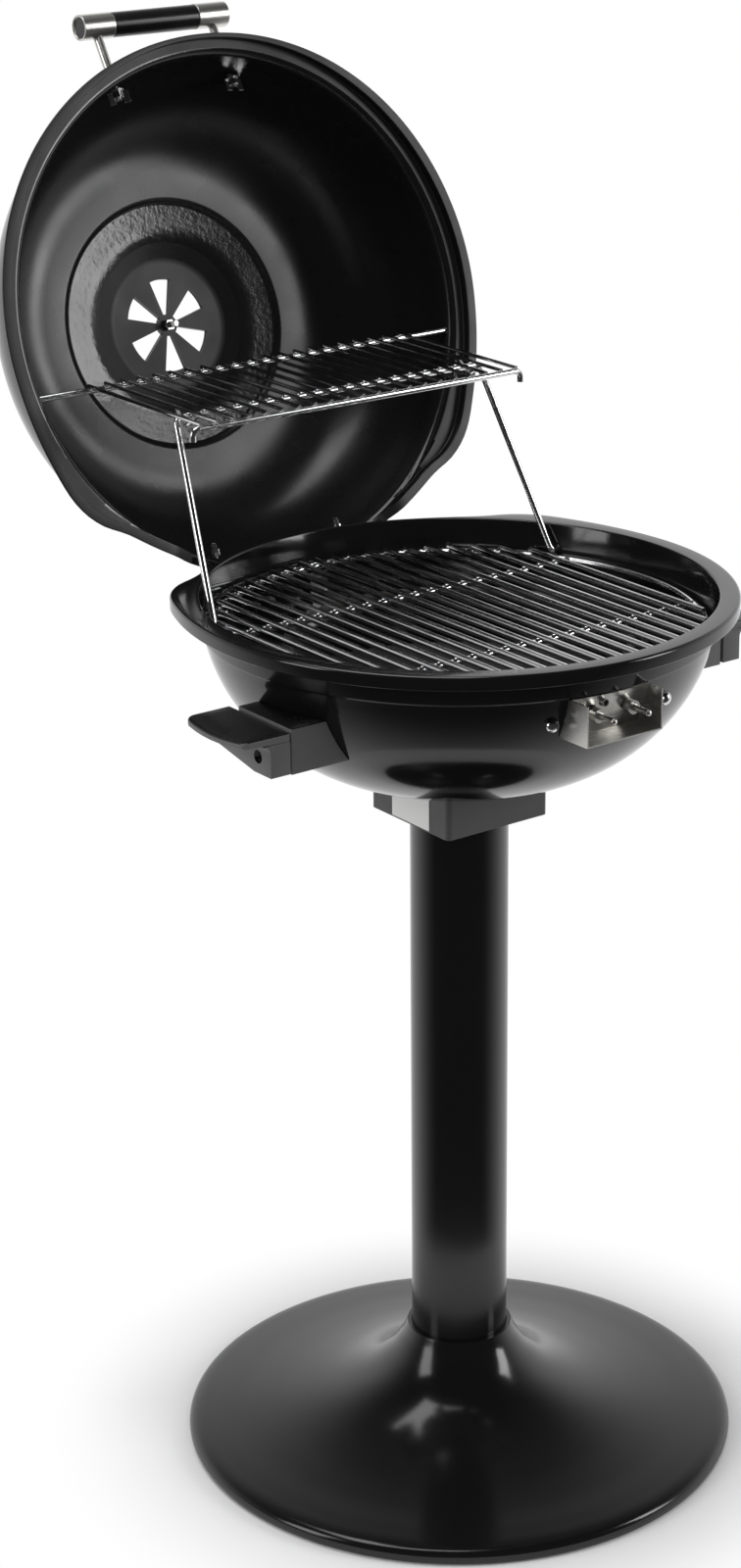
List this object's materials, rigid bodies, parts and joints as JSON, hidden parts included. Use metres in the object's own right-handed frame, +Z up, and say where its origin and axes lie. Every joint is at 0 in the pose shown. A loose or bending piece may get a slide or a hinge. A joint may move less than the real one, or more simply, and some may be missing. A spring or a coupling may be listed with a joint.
{
  "type": "pedestal electric grill",
  "caption": "Free-standing electric kettle grill on a column and dished base, with a hinged domed lid, a warming rack that swings out as the lid opens, side handles and a turning vent.",
  "frame": {"origin": "on the floor, on the column's axis, at the underside of the base plate", "axes": "+Z up, the grill's front and its terminals face -Y, the lid hinge runs along X at the back"},
  "size_m": [0.4966, 0.6388, 1.097],
  "materials": {
    "enamel": "gloss black enamel",
    "painted_steel": "gloss black powder coat",
    "zinc_steel": "zinc-plated steel",
    "stainless": "brushed stainless",
    "black_plastic": "matte black moulded phenolic",
    "grey_plastic": "matte dark grey moulded plastic",
    "hinge_steel": "plain steel",
    "chrome_wire": "chromed wire",
    "element_steel": "heat-darkened steel sheath",
    "tray_alu": "pressed aluminium"
  },
  "bodies": {
    "stand": {"bowl": "enamel", "base_dish": "painted_steel", "column": "painted_steel", "base_plate": "zinc_steel", "column_socket": "zinc_steel", "head_flange": "zinc_steel", "socket_screws": "zinc_steel", "socket_nuts": "zinc_steel", "bowl_bolts": "zinc_steel", "bowl_nuts": "zinc_steel", "handle_screws": "zinc_steel", "handle_nuts": "zinc_steel", "guard_nuts": "zinc_steel", "hinge_bowl_bolts": "zinc_steel", "hinge_bowl_nuts": "zinc_steel", "hinge_pins": "zinc_steel", "element_bracket": "zinc_steel", "element_clip": "zinc_steel", "clip_rivet": "zinc_steel", "grate_studs": "zinc_steel", "probe_sleeve": "zinc_steel", "terminal_guard": "stainless", "guard_screws": "stainless", "terminal_pins": "stainless", "element_ferrules": "stainless", "handle_left": "black_plastic", "handle_right": "black_plastic", "head_box": "grey_plastic", "hinge_bowl_left": "hinge_steel", "hinge_bowl_right": "hinge_steel", "grate": "chrome_wire", "element": "element_steel", "grease_tray": "tray_alu"},
    "lid": {"lid": "enamel", "hinge_lid_left": "hinge_steel", "hinge_lid_right": "hinge_steel", "lid_hinge_bolts": "stainless", "lid_hinge_wingnuts": "stainless", "grip": "black_plastic", "grip_cap_left": "stainless", "grip_cap_right": "stainless", "grip_post_left": "stainless", "grip_post_right": "stainless", "grip_washers": "stainless", "grip_wingnuts": "stainless", "vent_screw": "stainless", "vent_nut": "stainless"},
    "damper": {"vent_damper": "enamel"},
    "rack": {"warming_rack": "chrome_wire"},
    "legs": {"rack_legs": "chrome_wire"}
  },
  "joints": [
    {"name": "lid_hinge", "type": "hinge", "parent": "stand", "child": "lid", "pos_m": [0, 0.2005, 0.686], "axis": [1, 0, 0], "range_deg": [0, 106.5]},
    {"name": "rack_pivot", "type": "hinge", "parent": "lid", "child": "rack", "pos_m": [0, 0.2725, 0.828], "axis": [1, 0, 0], "range_deg": [-107, 0.5]},
    {"name": "leg_pivot", "type": "hinge", "parent": "stand", "child": "legs", "pos_m": [0, 0.0885, 0.6854], "axis": [1, 0, 0], "range_deg": [-0.5, 107]},
    {"name": "vent_turn", "type": "hinge", "parent": "lid", "child": "damper", "pos_m": [0, 0.3936, 0.83791], "axis": [0, 0.9588, -0.284], "range_deg": [0, 30]}
  ],
  "couplings": [
    {"joint": "rack_pivot", "follows": "lid_hinge", "ratio": -1},
    {"joint": "leg_pivot", "follows": "lid_hinge", "ratio": 1}
  ]
}
